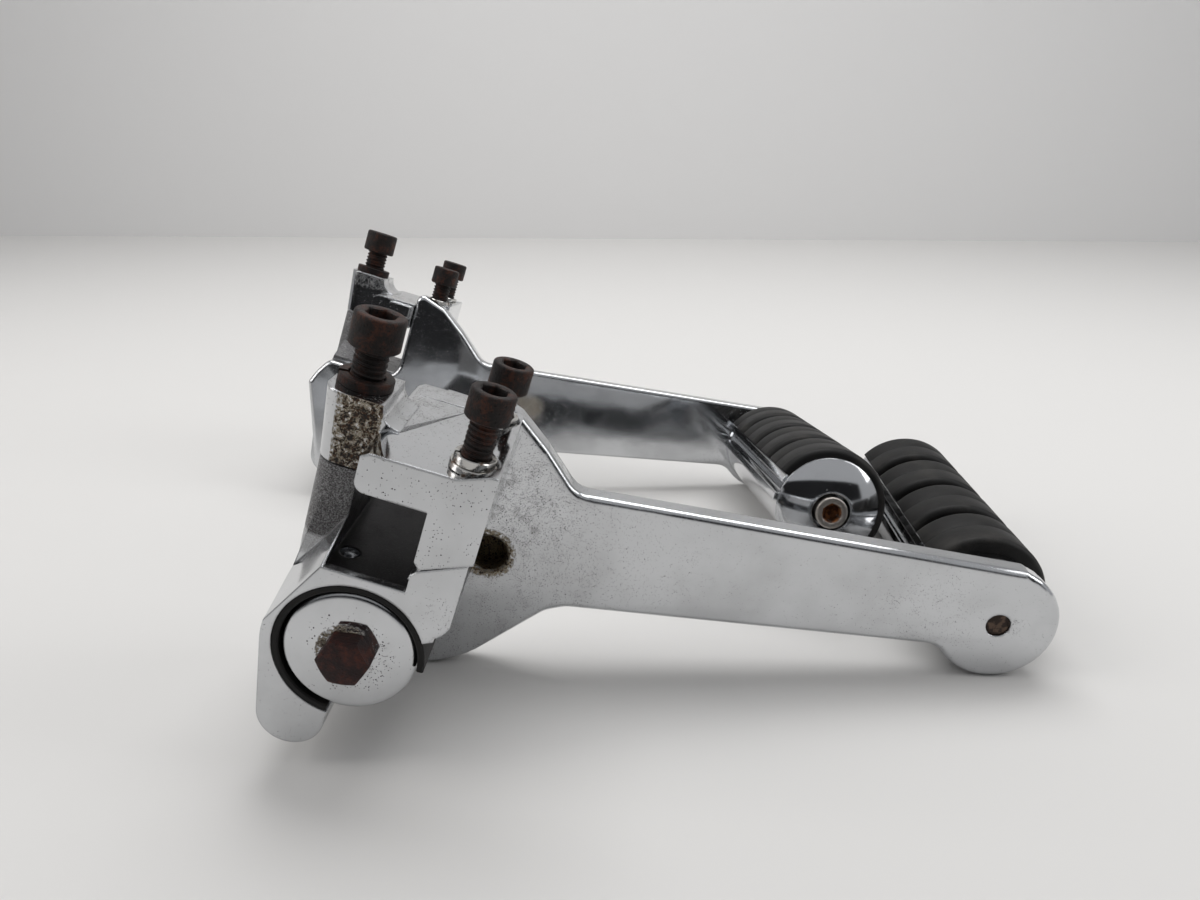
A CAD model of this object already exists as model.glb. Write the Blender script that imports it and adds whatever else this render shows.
import math

import bmesh
import bpy
from mathutils import Matrix, Vector


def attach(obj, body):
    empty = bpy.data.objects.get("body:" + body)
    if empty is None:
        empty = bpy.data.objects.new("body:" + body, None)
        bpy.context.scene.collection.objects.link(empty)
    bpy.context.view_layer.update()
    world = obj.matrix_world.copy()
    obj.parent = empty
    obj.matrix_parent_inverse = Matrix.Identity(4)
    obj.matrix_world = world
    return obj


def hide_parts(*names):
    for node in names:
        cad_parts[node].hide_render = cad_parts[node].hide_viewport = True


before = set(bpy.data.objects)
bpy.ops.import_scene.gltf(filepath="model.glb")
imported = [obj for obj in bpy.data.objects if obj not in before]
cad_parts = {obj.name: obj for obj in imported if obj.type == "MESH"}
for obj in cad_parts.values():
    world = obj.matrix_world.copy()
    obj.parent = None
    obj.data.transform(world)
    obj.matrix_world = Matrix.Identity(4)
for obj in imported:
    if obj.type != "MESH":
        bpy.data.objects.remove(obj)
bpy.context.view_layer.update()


# ---- The bench, the light and the camera
# The pair lies on a white bench with a white wall a metre behind it, under soft lamps.
# The unlit end of the room, behind the camera, gives the chrome its black lines.
def flat_sheet(name, corners, colour, rough=0.9):
    mesh = bpy.data.meshes.new(name)
    mesh.from_pydata(corners, [], [(0, 1, 2, 3)])
    sheet = bpy.data.objects.new(name, mesh)
    bpy.context.scene.collection.objects.link(sheet)
    paint = bpy.data.materials.new(name)
    paint.use_nodes = True
    surface = paint.node_tree.nodes["Principled BSDF"]
    surface.inputs["Base Color"].default_value = (*colour, 1)
    surface.inputs["Roughness"].default_value = rough
    surface.inputs["Specular IOR Level"].default_value = 0.2
    mesh.materials.append(paint)
    return sheet


BACK = 1.02
flat_sheet("bench", [(-3, -4, 0), (3, -4, 0), (3, BACK, 0), (-3, BACK, 0)], (0.70, 0.69, 0.675))
flat_sheet("wall", [(-3, BACK, 0), (3, BACK, 0), (3, BACK, 1.6), (-3, BACK, 1.6)], (0.76, 0.755, 0.75))
for name, corners in (
        ("dark_end", [(-2.9, -1.5, 0.14), (2.9, -1.5, 0.14), (2.9, -1.5, 1.1), (-2.9, -1.5, 1.1)]),
        ("dark_side", [(-1.9, -1.5, 0.16), (-1.9, 0.1, 0.16), (-1.9, 0.1, 0.75), (-1.9, -1.5, 0.75)])):
    flat_sheet(name, corners, (0.025, 0.025, 0.027)).visible_camera = False

world = bpy.data.worlds.new("room")
bpy.context.scene.world = world
world.use_nodes = True
world.node_tree.nodes["Background"].inputs["Color"].default_value = (0.80, 0.81, 0.83, 1)
world.node_tree.nodes["Background"].inputs["Strength"].default_value = 0.55


def soft_lamp(name, place, aim, width, height, watts, tint=(1, 1, 1)):
    lamp = bpy.data.lights.new(name, "AREA")
    lamp.shape = "RECTANGLE"
    lamp.size, lamp.size_y, lamp.energy, lamp.color = width, height, watts, tint
    holder = bpy.data.objects.new(name, lamp)
    bpy.context.scene.collection.objects.link(holder)
    holder.location = place
    holder.rotation_euler = (Vector(aim) - Vector(place)).to_track_quat("-Z", "Y").to_euler()


soft_lamp("lamp_over", (0.1, 0.35, 1.05), (0, 0.05, 0), 1.1, 0.5, 7.5)
soft_lamp("lamp_left", (-1.0, -0.2, 0.75), (0, 0, 0.03), 0.5, 0.8, 4, (1, 0.98, 0.96))
soft_lamp("lamp_right", (1.1, -0.1, 0.7), (0, 0, 0.03), 0.4, 0.8, 3)

# Where the two pivots are, and how the right assembly leans and turns
LEFT_PIVOT = (-64.969, -128.375, 38.0)
RIGHT_PIVOT = (-123.769, 122.025, 29.388)
RIGHT_LEAN, RIGHT_TURN = 8.9582, 4.6

eye = bpy.data.objects.new("camera", bpy.data.cameras.new("camera"))
bpy.context.scene.collection.objects.link(eye)
eye.data.sensor_width, eye.data.lens = 36, 25.98
across, upward, ahead = (0.99917, 0.0407, 0), (-0.0146, 0.3584, 0.9335), (-0.0380, 0.9327, -0.3587)
facing = Matrix((across, upward, -Vector(ahead))).transposed().to_4x4()
FROM_LEFT_PIVOT = (75.7, -194.1, 134.2)
eye.matrix_world = Matrix.Translation((Vector(LEFT_PIVOT) + Vector(FROM_LEFT_PIVOT)) / 1000) @ facing
eye.data.clip_start, eye.data.clip_end = 0.01, 20
bpy.context.scene.camera = eye
bpy.context.scene.view_settings.view_transform = "Standard"


# ---- Clamp jaws
# Two chromed castings per clamp. The lower one holds the rubber lined socket and
# its tongue, the upper one bridges the square passage and carries the screws. The
# plating is pitted, and rust has eaten the front of the screw post.
class Assembly:
    """One of the pair: where its own millimetre frame lies in the scene."""

    def __init__(self, name, pivot, lean, turn, flip):
        self.name = name
        self.flip = flip
        self.turn = Matrix.Rotation(math.radians(turn), 3, "Z") @ Matrix.Rotation(-math.radians(lean), 3, "X")
        self.pivot = Vector(pivot) / 1000
        mirror = Matrix.Diagonal((1, flip, 1))
        self.frame = Matrix.Translation(self.pivot) @ (self.turn @ mirror).to_4x4() @ Matrix.Scale(0.001, 4)


TILT = math.radians(18)
PAIR = [Assembly("left", LEFT_PIVOT, 0, 0, 1), Assembly("right", RIGHT_PIVOT, RIGHT_LEAN, RIGHT_TURN, -1)]
TILTED = Matrix.Rotation(TILT, 4, "Y")


class Wire:
    """A shader output that can be used in sums."""

    def __init__(self, finish, socket):
        self.finish, self.socket = finish, socket

    def math(self, operation, *others):
        terms = {i: v for i, v in enumerate((self, *others))}
        return self.finish.node("Math", {"operation": operation}, terms)

    def also(self, output):
        return Wire(self.finish, self.socket.node.outputs[output])

    def __add__(self, other):
        return self.math("ADD", other)

    def __mul__(self, other):
        return self.math("MULTIPLY", other)

    def __sub__(self, other):
        return self.math("SUBTRACT", other)

    def __rsub__(self, other):
        return self.math("MULTIPLY", -1).math("ADD", other)

    def __truediv__(self, other):
        return self.math("DIVIDE", other)

    def __pow__(self, other):
        return self.math("POWER", other)

    __radd__, __rmul__ = __add__, __mul__

    def rise(self, low, high):
        """0 below low, 1 above high, smooth between them. Falls if low is above high."""
        sockets = {"Value": self, "From Min": min(low, high), "From Max": max(low, high)}
        ends = {"To Min": 0.0, "To Max": 1.0} if low < high else {"To Min": 1.0, "To Max": 0.0}
        return self.finish.node("MapRange", {"interpolation_type": "SMOOTHSTEP"}, {**sockets, **ends})


class Finish:
    """A material in the making, with coordinates in an assembly's own millimetres."""

    def __init__(self, name, assembly=None, tilted=False):
        self.material = bpy.data.materials.new(name)
        self.material.use_nodes = True
        self.tree = self.material.node_tree
        self.surface = self.tree.nodes["Principled BSDF"]
        place = self.node("TexCoord").also("Object")
        if assembly:
            turn = assembly.turn @ TILTED.to_3x3() if tilted else assembly.turn
            place = self.node("Mapping", {"vector_type": "TEXTURE"}, {
                "Vector": place, "Location": assembly.pivot, "Rotation": turn.to_euler("XYZ"),
                "Scale": (0.001, 0.001 * assembly.flip, 0.001)})
        self.place = place
        split = self.node("SeparateXYZ", {}, {0: place})
        self.x, self.y, self.z = split, split.also(1), split.also(2)

    def node(self, kind, settings=None, sockets=None):
        made = self.tree.nodes.new("ShaderNode" + kind)
        for key, value in (settings or {}).items():
            setattr(made, key, value)
        for key, value in (sockets or {}).items():
            if isinstance(value, Wire):
                self.tree.links.new(value.socket, made.inputs[key])
            else:
                made.inputs[key].default_value = value
        return Wire(self, made.outputs[0])

    def noise(self, per_mm, detail=3.0, rough=0.55):
        return self.node("TexNoise", {}, {
            "Vector": self.place, "Scale": per_mm, "Detail": detail, "Roughness": rough})

    def specks(self, size, chance, spread=0.3):
        """Round specks, one in each cell of that size, kept with a chance from 0 to 1."""
        cell = self.node("TexVoronoi", {}, {"Vector": self.place, "Scale": 1 / size})
        luck = self.node("SeparateColor", {}, {0: cell.also("Color")})
        return cell.rise(spread, spread * 0.45) * (chance - luck).rise(0.0, 0.03)

    def blend(self, mask, first, second):
        made = self.node("Mix", {"data_type": "RGBA"}, {0: mask})
        for i, value in ((6, first), (7, second)):
            if isinstance(value, Wire):
                self.tree.links.new(value.socket, made.socket.node.inputs[i])
            else:
                made.socket.node.inputs[i].default_value = (*value, 1)
        return made.also(2)

    def near(self, point, radius, axes="xz"):
        """1 at a point of the named axes' plane, fading to 0 at a radius from it."""
        total = 0
        for axis, at in zip(axes, point):
            away = getattr(self, axis) - at
            total = away * away + total
        return (total ** 0.5).rise(radius, radius * 0.15)

    def give(self, bump=None, depth=0.0001, edge=0.0, **feeds):
        for key, value in feeds.items():
            socket = self.surface.inputs[key.replace("_", " ")]
            if isinstance(value, Wire):
                self.tree.links.new(value.socket, socket)
            else:
                socket.default_value = (*value, 1) if isinstance(value, tuple) else value
        if bump is not None:
            raised = self.node("Bump", {}, {"Height": bump, "Distance": depth, "Strength": 1.0})
            if edge:
                soft = self.node("Bevel", {"samples": 4}, {"Radius": edge})
                self.tree.links.new(soft.socket, raised.socket.node.inputs["Normal"])
            self.tree.links.new(raised.socket, self.surface.inputs["Normal"])
        return self.material


CHROME = (0.60, 0.61, 0.625)
CHROME_DULL = (0.40, 0.405, 0.41)
PIT = (0.030, 0.020, 0.014)
SCAB = (0.014, 0.009, 0.007)
RUST_GOLD = (0.36, 0.28, 0.16)
RUST_BROWN = (0.085, 0.038, 0.016)


def plated(finish, dirt=0.0, rust=None, cast=None, soot=None, pit=0.55, base=0.02):
    """Old chrome. Dirt brings pits and smudges, rust eats it, soot blackens it, cast leaves it rough."""
    haze = finish.noise(0.035, 4.0).rise(0.40, 0.70)
    crowd = finish.noise(0.16, 3.0, 0.65).rise(0.35, 0.72)
    chance = (crowd + 0.25) * (dirt + base)
    large, middling, small = (
        finish.specks(pit * 1.3, chance * 0.4),
        finish.specks(pit * 0.8, chance * 0.9, 0.34),
        finish.specks(pit * 0.5, chance * 1.3, 0.36))
    mark = (large + middling + small).math("MINIMUM", 1.0)
    smudge = (finish.noise(1.5, 5.0, 0.8) * 0.6 + crowd * 0.5).rise(0.42, 0.90) * dirt
    smudge = smudge.math("MINIMUM", 1.0)
    colour = finish.blend(haze * 0.4, CHROME, CHROME_DULL)
    colour = finish.blend(smudge * 0.35, colour, (0.22, 0.205, 0.19))
    colour = finish.blend(mark, colour, PIT)
    rough = haze * 0.06 + mark * 0.45 + smudge * 0.25 + 0.07
    metal = 1.0 - mark * 0.8
    height = finish.noise(0.09, 1.0) * 0.20 + finish.noise(1.6, 2.0) * 0.010 - mark * 0.3
    if cast is not None:
        grain = finish.noise(2.6, 3.0, 0.7)
        height = height + cast * grain * 1.5
        rough = rough + cast * 0.26
        sand = finish.blend(grain.rise(0.40, 0.66), (0.07, 0.067, 0.067), (0.33, 0.33, 0.335))
        colour = finish.blend(cast, colour, sand)
    if soot is not None:
        film = soot * (finish.noise(0.20, 4.0, 0.65) * 0.8 + 0.85)
        film = film.math("MINIMUM", 1.0)
        colour = finish.blend(film, colour, (0.014, 0.013, 0.014))
        rough = rough + film * 0.22
    if rust is not None:
        grit = finish.noise(0.85, 6.0, 0.82) + rust * 0.14
        place = rust.rise(0.02, 0.2)
        eaten = grit.rise(0.59, 0.62) * place
        gold = grit.rise(0.50, 0.58) * place
        colour = finish.blend(gold * 0.85, colour, RUST_GOLD)
        crust = finish.blend(finish.noise(1.4, 3.0).rise(0.45, 0.65), SCAB, RUST_BROWN)
        colour = finish.blend(eaten, colour, crust)
        rough = rough + gold * 0.22 + eaten * 0.35
        metal = metal * (1.0 - eaten * 0.9)
        height = height - eaten * 0.9 + gold * 0.5
    return finish.give(bump=height, depth=0.00022, edge=0.001, Base_Color=colour,
                       Roughness=rough.math("MINIMUM", 0.95), Metallic=metal)


def lower_jaw_chrome(assembly):
    """Rough as cast on the post over the sloping foot, blackened inside the passage."""
    finish = Finish(assembly.name + "_lower_jaw_chrome", assembly, tilted=True)
    post = finish.x.rise(-11.2, -12.0) * finish.z.rise(21.0, 24.0) * finish.y.rise(14.0, 17.0)
    ramp = finish.x.rise(-13.0, -18.0) * finish.z.rise(14.0, 17.0) * finish.y.rise(1.0, 4.0) * 0.45
    within = finish.y.rise(0.8, 3.5) * finish.y.rise(49.5, 47.0)
    inside = finish.z.rise(23.1, 23.3) * finish.x.rise(-11.9, -11.3) * within
    block = finish.near((22, 20), 10) * finish.y.rise(0.4, 0.0) * 0.12
    rough_cast = (post + ramp).math("MINIMUM", 1.0)
    return plated(finish, dirt=inside * 0.5 + block + 0.02, cast=rough_cast, soot=inside)


def upper_jaw_chrome(assembly):
    """Pits towards the back of the top face, rust on the front of the post."""
    finish = Finish(assembly.name + "_upper_jaw_chrome", assembly, tilted=True)
    up = finish.z.rise(57.6, 58.1)
    back = up * finish.y.rise(13.0, 40.0) * finish.x.rise(14.0, -7.0)
    tail = up * finish.y.rise(40.0, 50.0) * 0.3
    seat = finish.near((14.5, 8.5), 11, "xy") * up * 0.22
    within = finish.y.rise(0.8, 3.0) * finish.y.rise(49.4, 47.0)
    under = finish.z.rise(47.9, 47.6) * finish.x.rise(-9.5, -8.5) * finish.x.rise(11.4, 11.0) * within
    post_face = finish.y.rise(17.5, 17.1) * finish.y.rise(16.0, 16.9)
    front = post_face * finish.x.rise(-23.2, -18.0) * finish.x.rise(-8.8, -9.4)
    face = finish.y.rise(0.6, 0.2) * 0.06
    seam = finish.near((15, 50.0), 8, "xy") * up * finish.y.rise(48.0, 49.8)
    worn = back * 0.75 + tail + seat + face + up * 0.05 + 0.02
    return plated(finish, dirt=worn, rust=front * 0.92 + seam * 0.75, soot=under * 0.9, pit=0.8)


def smooth_metal(node, width, material, body, angle=32, steps=3, crease=34):
    """Copies a CAD solid, rounds its edges as polished metal has them, and stands for it."""
    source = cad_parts[node]
    mesh = source.data.copy()
    shape = bmesh.new()
    shape.from_mesh(mesh)
    bmesh.ops.remove_doubles(shape, verts=shape.verts, dist=2e-6)
    if width:
        bmesh.ops.dissolve_limit(shape, angle_limit=math.radians(0.6), verts=shape.verts, edges=shape.edges)
    shape.to_mesh(mesh)
    shape.free()
    mesh.materials.clear()
    mesh.materials.append(material)
    rough = bpy.data.objects.new(node + "_rough", mesh)
    bpy.context.scene.collection.objects.link(rough)
    if width:
        bevel = rough.modifiers.new("edges", "BEVEL")
        bevel.width, bevel.segments, bevel.limit_method = width, steps, "ANGLE"
        bevel.angle_limit, bevel.use_clamp_overlap = math.radians(angle), True
        bevel.miter_outer = "MITER_ARC"
    piece = settle(rough, node + "_piece", node, body)
    shade_flats(piece.data, crease)
    return piece


def shade_flats(mesh, crease):
    """Keeps flat faces flat where they meet rounded edges, and edges over the crease sharp."""
    around = [[] for _ in mesh.vertices]
    for face in mesh.polygons:
        for corner in face.vertices:
            around[corner].append((face.normal * face.area, face.normal.copy()))
    limit = math.cos(math.radians(crease))
    normals = []
    for face in mesh.polygons:
        for corner in face.vertices:
            near = (pull for pull, normal in around[corner] if normal.dot(face.normal) > limit)
            total = sum(near, Vector())
            normals.append(total.normalized() if total.length else face.normal.copy())
    mesh.shade_smooth()
    mesh.normals_split_custom_set(normals)


def settle(rough, name, node, body):
    """Turns an object with its modifiers into a plain piece that rides on its body."""
    bpy.context.view_layer.update()
    graph = bpy.context.evaluated_depsgraph_get()
    mesh = bpy.data.meshes.new_from_object(rough.evaluated_get(graph))
    bpy.data.objects.remove(rough)
    mesh.name = name
    piece = bpy.data.objects.new(name, mesh)
    bpy.context.scene.collection.objects.link(piece)
    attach(piece, body)
    if node:
        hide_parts(node)
    return piece


for side in PAIR:
    smooth_metal(side.name + "_lower_jaw", 0.0007, lower_jaw_chrome(side), "clamps")
    smooth_metal(side.name + "_upper_jaw", 0.0009, upper_jaw_chrome(side), "clamps")


# ---- Clamp screws
# Three socket head screws pull each clamp together: a 3/8 inch one in the post and
# two 5/16 inch ones in the leg. All have rusted dark brown, threads and sockets too.
def turned(profile, steps=48, start=0.0, sweep=360.0):
    """Spins (radius, height, "round" or "hex") points about Z. A part sweep gets flat ends."""
    shape = bmesh.new()
    whole = abs(sweep) >= 360
    rings = []
    for i in range(steps if whole else steps + 1):
        angle = math.radians(start + sweep * i / steps)
        ring = []
        for radius, height, *kind in profile:
            if kind and kind[0] == "hex":
                corner = (math.degrees(angle) + 30) % 60 - 30
                radius = radius / math.cos(math.radians(corner))
            ring.append(shape.verts.new((radius * math.cos(angle), radius * math.sin(angle), height)))
        rings.append(ring)
    for i in range(len(rings) - (0 if whole else 1)):
        here, after = rings[i], rings[(i + 1) % len(rings)]
        for j in range(len(profile) - (1 if whole and profile[0][0] == 0 else 0)):
            k = (j + 1) % len(profile)
            shape.faces.new((here[j], after[j], after[k], here[k]))
    if not whole:
        shape.faces.new(rings[0])
        shape.faces.new(rings[-1][::-1])
    bmesh.ops.remove_doubles(shape, verts=shape.verts, dist=1e-5)
    bmesh.ops.recalc_face_normals(shape, faces=shape.faces)
    return shape


def thread_tree():
    """Screw thread as a node tree: a ridge wound round a core, with its sizes as inputs."""
    tree = bpy.data.node_groups.new("screw_thread", "GeometryNodeTree")
    face = tree.interface
    face.new_socket("Thread", in_out="OUTPUT", socket_type="NodeSocketGeometry")
    for name in ("Radius", "Pitch", "Length"):
        face.new_socket(name, in_out="INPUT", socket_type="NodeSocketFloat")
    face.new_socket("Metal", in_out="INPUT", socket_type="NodeSocketMaterial")
    given, result = tree.nodes.new("NodeGroupInput"), tree.nodes.new("NodeGroupOutput")

    def add(kind, links=None, **settings):
        made = tree.nodes.new(kind)
        for key, value in settings.items():
            setattr(made, key, value)
        for key, value in (links or {}).items():
            if isinstance(value, bpy.types.NodeSocket):
                tree.links.new(value, made.inputs[key])
            else:
                made.inputs[key].default_value = value
        return made

    def sum_of(operation, first, second):
        return add("ShaderNodeMath", {0: first, 1: second}, operation=operation).outputs[0]

    radius, pitch, length = (given.outputs[n] for n in ("Radius", "Pitch", "Length"))
    root = sum_of("SUBTRACT", radius, sum_of("MULTIPLY", pitch, 0.36))
    turns = sum_of("DIVIDE", length, pitch)
    coil = add("GeometryNodeCurveSpiral", {
        "Resolution": 32, "Rotations": turns, "Start Radius": root, "End Radius": root, "Height": length})
    tooth = add("GeometryNodeCurvePrimitiveCircle", {
        "Resolution": 6, "Radius": sum_of("MULTIPLY", pitch, 0.36)})
    ridge = add("GeometryNodeCurveToMesh", {
        "Curve": coil.outputs[0], "Profile Curve": tooth.outputs[0], "Fill Caps": True})
    core = add("GeometryNodeMeshCylinder", {"Vertices": 32, "Radius": root, "Depth": length})
    lift = add("ShaderNodeCombineXYZ", {2: sum_of("MULTIPLY", length, 0.5)})
    raised = add("GeometryNodeTransform", {"Geometry": core.outputs[0], "Translation": lift.outputs[0]})
    both = add("GeometryNodeJoinGeometry")
    tree.links.new(ridge.outputs[0], both.inputs[0])
    tree.links.new(raised.outputs[0], both.inputs[0])
    real = add("GeometryNodeRealizeInstances", {0: both.outputs[0]})
    coat = add("GeometryNodeSetMaterial", {"Geometry": real.outputs[0], "Material": given.outputs["Metal"]})
    tree.links.new(coat.outputs[0], result.inputs[0])
    return tree


THREAD = thread_tree()


def thread(radius, pitch, length, material):
    """The thread's mesh, standing on Z = 0, in millimetres."""
    holder = bpy.data.objects.new("thread", bpy.data.meshes.new("thread"))
    bpy.context.scene.collection.objects.link(holder)
    wound = holder.modifiers.new("thread", "NODES")
    wound.node_group = THREAD
    sizes = {"Radius": float(radius), "Pitch": float(pitch), "Length": float(length), "Metal": material}
    for item in THREAD.interface.items_tree:
        if item.in_out == "INPUT":
            wound[item.identifier] = sizes[item.name]
    bpy.context.view_layer.update()
    mesh = bpy.data.meshes.new_from_object(holder.evaluated_get(bpy.context.evaluated_depsgraph_get()))
    bpy.data.objects.remove(holder)
    return mesh


def put(shape, name, node, body, material, matrix, sharp=35, extra=None):
    """Places a piece made in millimetres, and lets it stand for its CAD node."""
    mesh = bpy.data.meshes.new(name)
    if extra:
        shape.from_mesh(extra)
    shape.to_mesh(mesh)
    shape.free()
    mesh.transform(matrix)
    if matrix.to_3x3().determinant() < 0:
        mesh.flip_normals()
    mesh.materials.clear()
    mesh.materials.append(material)
    for face in mesh.polygons:
        face.material_index = 0
    mesh.shade_smooth()
    mesh.set_sharp_from_angle(angle=math.radians(sharp))
    piece = bpy.data.objects.new(name, mesh)
    bpy.context.scene.collection.objects.link(piece)
    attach(piece, body)
    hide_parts(node)
    return piece


def brown_rust(name, dark, light, orange, amount=0.5):
    """Steel rusted all over, with a few brighter flakes."""
    finish = Finish(name, PAIR[0])
    cloud = finish.noise(0.25, 5.0, 0.7)
    grit = finish.noise(1.6, 4.0, 0.75)
    colour = finish.blend(cloud.rise(0.35, 0.68), dark, light)
    colour = finish.blend((cloud + grit * 0.6).rise(0.78, 1.0) * amount, colour, orange)
    flakes = finish.specks(0.9, 0.22, 0.4)
    return finish.give(bump=grit + flakes * 0.25, depth=0.00028, Base_Color=colour,
                       Roughness=grit * 0.3 + 0.38, Metallic=flakes * 0.35 + 0.12, Specular_IOR_Level=0.3)


SCREW_RUST = brown_rust(
    "screw_rust", dark=(0.006, 0.004, 0.0035), light=(0.020, 0.010, 0.008),
    orange=(0.12, 0.030, 0.008), amount=0.4)
SCREW_LENGTH = 50.8


def socket_head(radius, height, key):
    """Head of a socket screw, standing on Z = 0, with a six sided recess."""
    edge = radius * 0.13
    bends = [math.radians(a) for a in (90, 67, 45, 22, 0)]
    rim = [(radius - edge + edge * math.sin(a), height - edge + edge * math.cos(a)) for a in bends]
    flat = key * 0.866
    return [(0, 0), (radius - 0.45, 0), (radius, 0.45), *rim,
            (flat * 1.16 + 0.25, height), (flat + 0.12, height - 0.3, "hex"), (flat, height - 0.8, "hex"),
            (flat, height * 0.42, "hex"), (0, height * 0.30)]


SCREWS = {
    # piece: radius, pitch, head underside over the pivot, across, deep
    "post_screw": (4.76, 1.588, 75.3, -17.75, 28.5),
    "front_screw": (3.97, 1.411, 73.1, 17.5, 8.5),
    "rear_screw": (3.97, 1.411, 70.6, 18.5, 42.5),
}
for side in PAIR:
    for piece, (radius, pitch, under, across_at, deep_at) in SCREWS.items():
        place = side.frame @ TILTED @ Matrix.Translation((across_at, deep_at, under))
        head = turned(socket_head(radius * 1.5 - 0.02, radius * 2 - 0.03, radius * 0.93))
        shank = thread(radius, pitch, SCREW_LENGTH - 0.5, SCREW_RUST)
        shank.transform(Matrix.Translation((0, 0, -SCREW_LENGTH + 0.4)))
        node = f"{side.name}_{piece}"
        put(head, node + "_piece", node, "clamps", SCREW_RUST, place, extra=shank)


# ---- Washers
# A thick rusty split washer lies on the post round its screw. Each small screw has a
# bright split washer on a flat one, in a pocket milled into the jaw's raised rim.
FLAT_THICK, POCKET_FLOOR, POST_TOP = 1.8, 58.9, 64.5


def split_ring(inner, outer, thick, climb):
    """A split washer, square in section, whose cut ends stand apart."""
    edge = 0.22
    section = [(inner, edge), (inner + edge, 0), (outer - edge, 0), (outer, edge), (outer, thick - edge),
               (outer - edge, thick), (inner + edge, thick), (inner, thick - edge)]
    shape = turned(section, 56, 206, 350)
    for vertex in shape.verts:
        share = ((math.degrees(math.atan2(vertex.co.y, vertex.co.x)) - 206) % 360) / 350
        vertex.co.z += climb * (share - 0.5) * 0.5
    return shape


def washer_chrome(assembly):
    finish = Finish(assembly.name + "_washer_chrome", assembly, tilted=True)
    film = finish.noise(0.5, 4.0).rise(0.48, 0.7)
    colour = finish.blend(film, (0.56, 0.55, 0.53), (0.14, 0.09, 0.06))
    return finish.give(bump=film * 0.5 + finish.noise(2.0, 2.0) * 0.2, depth=0.0001,
                       Base_Color=colour, Roughness=film * 0.4 + 0.18, Metallic=1.0 - film * 0.6)


for side in PAIR:
    bright = washer_chrome(side)
    on_post = side.frame @ TILTED @ Matrix.Translation((-17.75, 28.5, POST_TOP))
    node = side.name + "_post_lock_washer"
    put(split_ring(5.0, 7.62, 2.8, 0.35), node + "_piece", node, "clamps", SCREW_RUST, on_post)
    for piece, across_at, deep_at in (("front", 17.5, 8.5), ("rear", 18.5, 42.5)):
        seat = side.frame @ TILTED @ Matrix.Translation((across_at, deep_at, POCKET_FLOOR))
        top = FLAT_THICK
        ring = turned([(4.2, 0.15), (4.35, 0), (6.0, 0), (6.2, 0.2),
                       (6.2, top - 0.25), (6.0, top), (4.35, top), (4.2, top - 0.15)])
        node = f"{side.name}_{piece}_flat_washer"
        put(ring, node + "_piece", node, "clamps", bright, seat)
        on_flat = seat @ Matrix.Translation((0, 0, top))
        node = f"{side.name}_{piece}_lock_washer"
        spring = split_ring(4.2, 5.53, 2.45, 0.25)
        put(spring, node + "_piece", node, "clamps", bright, on_flat)


# ---- Liner
# An open sleeve of black rubber, pressed into the socket. Its ends show at the
# bottom beside the tongue and at the right, where it stands out of the ring.
def black_rubber(name, assembly, dust, shine):
    finish = Finish(name, assembly)
    cloud = finish.noise(0.09, 4.0)
    grain = finish.noise(2.4, 3.0, 0.6)
    powder = (cloud + grain * 0.35).rise(0.62, 0.95) * dust
    colour = finish.blend(powder, (0.0065, 0.0062, 0.006), (0.045, 0.042, 0.038))
    return finish.give(bump=grain * 0.5 + cloud, depth=0.00012, Base_Color=colour,
                       Roughness=cloud * 0.22 + shine, Specular_IOR_Level=0.22)


def along_depth(deep=0.0, at=(0.0, 0.0)):
    """Turns what stands on Z so that it points along the assembly's depth."""
    return Matrix.Translation((at[0], deep, at[1])) @ Matrix.Rotation(math.radians(-90), 4, "X")


for side in PAIR:
    sleeve = turned([(18.8, 0.4), (19.2, 0.03), (20.4, 0.03), (20.77, 0.4),
                     (20.77, 49.6), (20.4, 49.97), (19.2, 49.97), (18.8, 49.6)], 72, -246.0, 262.0)
    rubber = black_rubber(side.name + "_liner_rubber", side, dust=0.25, shine=0.42)
    put(sleeve, side.name + "_liner_piece", side.name + "_liner", "clamps",
        rubber, side.frame @ along_depth())


# ---- Hub, disc and hub bolt
# The hub is a turned drum with a serrated front. A polished disc caps it, and a
# rusty hexagon bolt holds both to the arm. The disc is pitted all round the bolt.
DISC_RADIUS, DISC_FACE = 18.43, 0.4


def disc_chrome(assembly):
    finish = Finish(assembly.name + "_disc_chrome", assembly)
    from_bolt = (finish.x * finish.x + finish.z * finish.z) ** 0.5
    ring = from_bolt.rise(14.0, 10.0) * from_bolt.rise(6.2, 8.4)
    low_right = (finish.x * 0.8 - finish.z).rise(-4.0, 12.0)
    stain = from_bolt.rise(9.4, 7.4) * (finish.z - finish.x).rise(-2.0, 9.0)
    return plated(finish, dirt=ring * (low_right * 0.34 + 0.14), rust=stain * 0.42, pit=0.95, base=0.03)


def hub_chrome(assembly):
    return plated(Finish(assembly.name + "_hub_chrome", assembly), dirt=0.1)


def hexagon_head(flat, height):
    """Hexagon bolt head on Z = 0, its corners cut off by a cone."""
    shape = bmesh.new()
    crown = flat * 0.93
    rings = [[], [], []]
    for i in range(72):
        angle = math.radians(i * 5)
        corner = (i * 5 + 30) % 60 - 30
        radius = flat / math.cos(math.radians(corner))
        fall = (radius - crown) * 0.52
        for ring, far, high in zip(rings, (radius, radius, crown), (0, height - fall, height)):
            ring.append(shape.verts.new((far * math.cos(angle), far * math.sin(angle), high)))
    for lower, upper in zip(rings, rings[1:]):
        for i in range(72):
            shape.faces.new((lower[i], lower[(i + 1) % 72], upper[(i + 1) % 72], upper[i]))
    shape.faces.new(rings[0][::-1])
    shape.faces.new(rings[2])
    return shape


BOLT_RUST = brown_rust(
    "bolt_rust", dark=(0.016, 0.007, 0.007), light=(0.045, 0.013, 0.011),
    orange=(0.14, 0.035, 0.014), amount=0.35)


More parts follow.
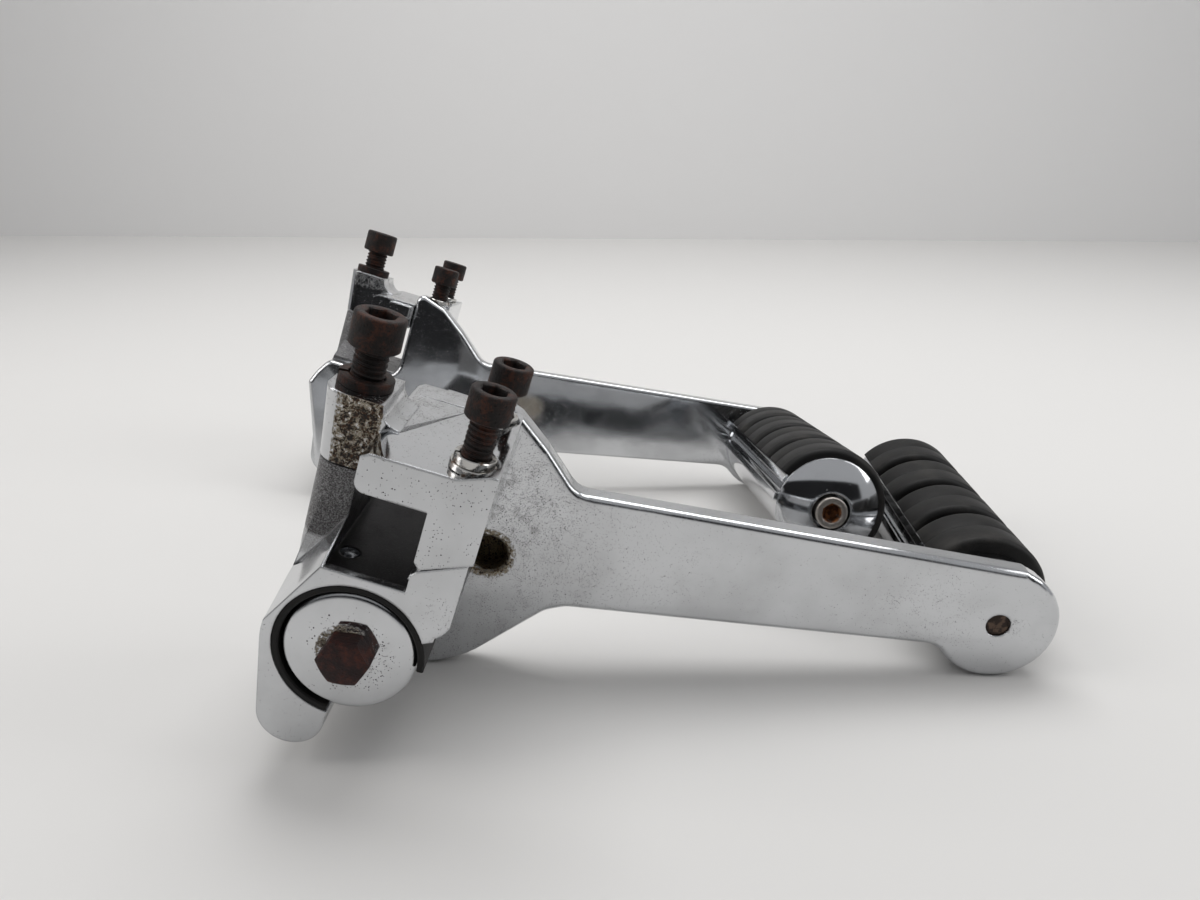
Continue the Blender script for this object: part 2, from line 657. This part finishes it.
def round_over(radius, height, edge, steps=6):
    """Points of a rounded outer corner, from the side to the top."""
    return [(radius - edge + edge * math.cos(math.radians(90 * i / steps)),
             height - edge + edge * math.sin(math.radians(90 * i / steps))) for i in range(steps + 1)]


for side in PAIR:
    arm_body = side.name + "_arm"
    outward = side.frame @ Matrix.Translation((0, DISC_FACE, 0)) @ Matrix.Rotation(math.radians(90), 4, "X")
    disc = turned([(0, -3.18), (DISC_RADIUS, -3.18), *round_over(DISC_RADIUS, 0, 2.1), (10.0, 0), (0, 0)], 96)
    node = side.name + "_hub_disc"
    put(disc, node + "_piece", node, arm_body, disc_chrome(side), outward, 50)
    shank = thread(3.97, 1.411, 58.0, BOLT_RUST)
    shank.transform(Matrix.Translation((0, 0, -57.5)))
    node = side.name + "_hub_bolt"
    screwed_in = outward @ Matrix.Rotation(math.radians(22), 4, "Z")
    head = hexagon_head(6.35, 5.6)
    put(head, node + "_piece", node, arm_body, BOLT_RUST, screwed_in, 28, extra=shank)
    smooth_metal(side.name + "_hub", 0.00015, hub_chrome(side), arm_body, 20, 1)


# ---- Arm
# A chromed casting: a plate behind the clamp, a flange up to the stop, and a long
# bar to the peg. Dirt and pits gather towards the clamp, rust round the spare hole.
def arm_chrome(assembly):
    finish = Finish(assembly.name + "_arm_chrome", assembly)
    outer_side = finish.y.rise(59.4, 59.0)
    near_clamp = finish.x.rise(88.0, 34.0) * outer_side
    fall = finish.near((42, 20), 22) * outer_side * 0.45
    patches = finish.near((86, 2), 26) * 0.06 + finish.near((170, -12), 26) * 0.10
    from_hole = ((finish.x - 30.1) * (finish.x - 30.1) + (finish.z - 4.1) * (finish.z - 4.1)) ** 0.5
    beside = finish.near((199.5, -18.3), 5) * 0.4
    hole = from_hole.rise(6.5, 6.0) * finish.y.rise(50.6, 51.6) * finish.y.rise(59.0, 58.4)
    rust = from_hole.rise(9.5, 6.6) * 0.62
    worn = near_clamp * 0.30 + fall + patches + beside + 0.02
    return plated(finish, dirt=worn, rust=rust, soot=hole, pit=0.5)


for side in PAIR:
    smooth_metal(side.name + "_arm", 0.0, arm_chrome(side), side.name + "_arm")


# ---- Peg core and cap
# The core is a chromed drum with a rounded collar at the arm and rails that keep the
# rubber from turning. A domed cap with a deep recess closes its outer end.
PEG = (193.8, -18.3)
TREAD_FROM, TREAD_TO = 67.0, 165.0


def peg_chrome(assembly):
    return plated(Finish(assembly.name + "_peg_chrome", assembly), base=0.015, pit=0.8)


for side in PAIR:
    bright = peg_chrome(side)
    smooth_metal(side.name + "_peg_core", 0.0004, bright, side.name + "_peg")
    dome = 34.0
    top = 6.4
    reach = 19.17
    arc = []
    for i in range(15):
        across_at = reach - (reach - 7.5) * i / 14
        arc.append((across_at, top - dome + math.sqrt(dome * dome - across_at * across_at)))
    cap = turned([(4.04, -4.5), (12.0, -4.5), (12.0, 0.02), (reach, 0.02), (reach + 0.02, 0.5), *arc,
                  (7.15, arc[-1][1] - 0.05), (7.0, arc[-1][1] - 0.4),
                  (7.0, top - 7.6), (4.04, top - 7.6)], 96)
    slant = math.radians(160)
    for vertex in cap.verts:
        out = vertex.co.x * math.cos(slant) + vertex.co.y * math.sin(slant)
        if out > 17.0 and vertex.co.z > 0.3:
            vertex.co.x -= (out - 17.0) * math.cos(slant)
            vertex.co.y -= (out - 17.0) * math.sin(slant)
    put(cap, side.name + "_peg_cap_piece", side.name + "_peg_cap", side.name + "_peg", bright,
        side.frame @ along_depth(TREAD_TO, PEG), 40)


# ---- Tread
# Moulded black rubber, wrapped over the outer and upper side of the core. Deep
# grooves part it into four ribs, and a fine moulding line runs round each rib.
def tread_section():
    inner, outer, low = 17.62, 22.59, 19.4
    length, ribs, groove = TREAD_TO - TREAD_FROM, 4, 3.4
    pitch = (length + groove) / ribs
    points = [(inner, 0.05)]
    corner = 2.5
    bends = [math.radians(15 * i) for i in range(7)]
    curve = [(outer - corner + corner * math.sin(a), corner - corner * math.cos(a)) for a in bends]
    for i in range(ribs):
        start, stop = i * pitch, i * pitch + pitch - groove
        middle = (start + stop) / 2
        first = [(radius, start + along) for radius, along in curve]
        last = [(radius, stop - along) for radius, along in reversed(curve)]
        first[0] = (low if i else outer - corner, start + (0 if i else 0.05))
        points += [(low, start), (low + 1.2, start + 0.02)] if i else []
        points += first[0 if not i else 1:]
        points += [(outer, middle - 0.5), (outer - 0.12, middle - 0.2)]
        points += [(outer - 0.12, middle + 0.2), (outer, middle + 0.5)]
        points += last[:-1]
        points += [(low + 1.2, stop - 0.02), (low, stop)] if i < ribs - 1 else [(outer - corner, stop - 0.05)]
    points.append((inner, length - 0.05))
    return points


for side in PAIR:
    wrap = turned(tread_section(), 72, -139.0, 199.0)
    rubber = black_rubber(side.name + "_tread_rubber", side, dust=0.55, shine=0.40)
    put(wrap, side.name + "_peg_tread_piece", side.name + "_peg_tread", side.name + "_peg",
        rubber, side.frame @ along_depth(TREAD_FROM, PEG), 50)


# ---- Peg bolt
# A long socket head bolt holds the peg to the arm. Its head lies in the cap's
# recess, still bright on its rim, and its rusty end is flush with the arm's face.
HEAD_AT = 163.9


def head_steel(assembly):
    finish = Finish(assembly.name + "_peg_bolt_steel", assembly)
    out = ((finish.x - PEG[0]) * (finish.x - PEG[0]) + (finish.z - PEG[1]) * (finish.z - PEG[1])) ** 0.5
    rusty = (out.rise(3.9, 3.3) + finish.y.rise(162.0, 150.0)).math("MINIMUM", 1.0)
    cloud = finish.noise(0.5, 4.0)
    orange = finish.blend(cloud.rise(0.4, 0.6), (0.10, 0.035, 0.012), (0.30, 0.12, 0.04))
    brown = finish.blend(cloud.rise(0.45, 0.6), (0.035, 0.022, 0.016), (0.13, 0.085, 0.06))
    rust = finish.blend(finish.y.rise(120.0, 60.0), orange, brown)
    colour = finish.blend(rusty, finish.blend(cloud, (0.48, 0.45, 0.42), (0.30, 0.27, 0.24)), rust)
    return finish.give(bump=cloud + finish.noise(2.0) * 0.4, depth=0.0002, Base_Color=colour,
                       Roughness=rusty * 0.45 + 0.35, Metallic=0.9 - rusty * 0.7)


for side in PAIR:
    metal = head_steel(side)
    place = side.frame @ along_depth(HEAD_AT, PEG)
    length = HEAD_AT - 50.85
    shank = thread(3.97, 1.411, length, metal)
    shank.transform(Matrix.Translation((0, 0, -length)))
    node = side.name + "_peg_bolt"
    head = turned(socket_head(5.95, 7.94, 3.7))
    put(head, node + "_piece", node, side.name + "_arm", metal, place, extra=shank)
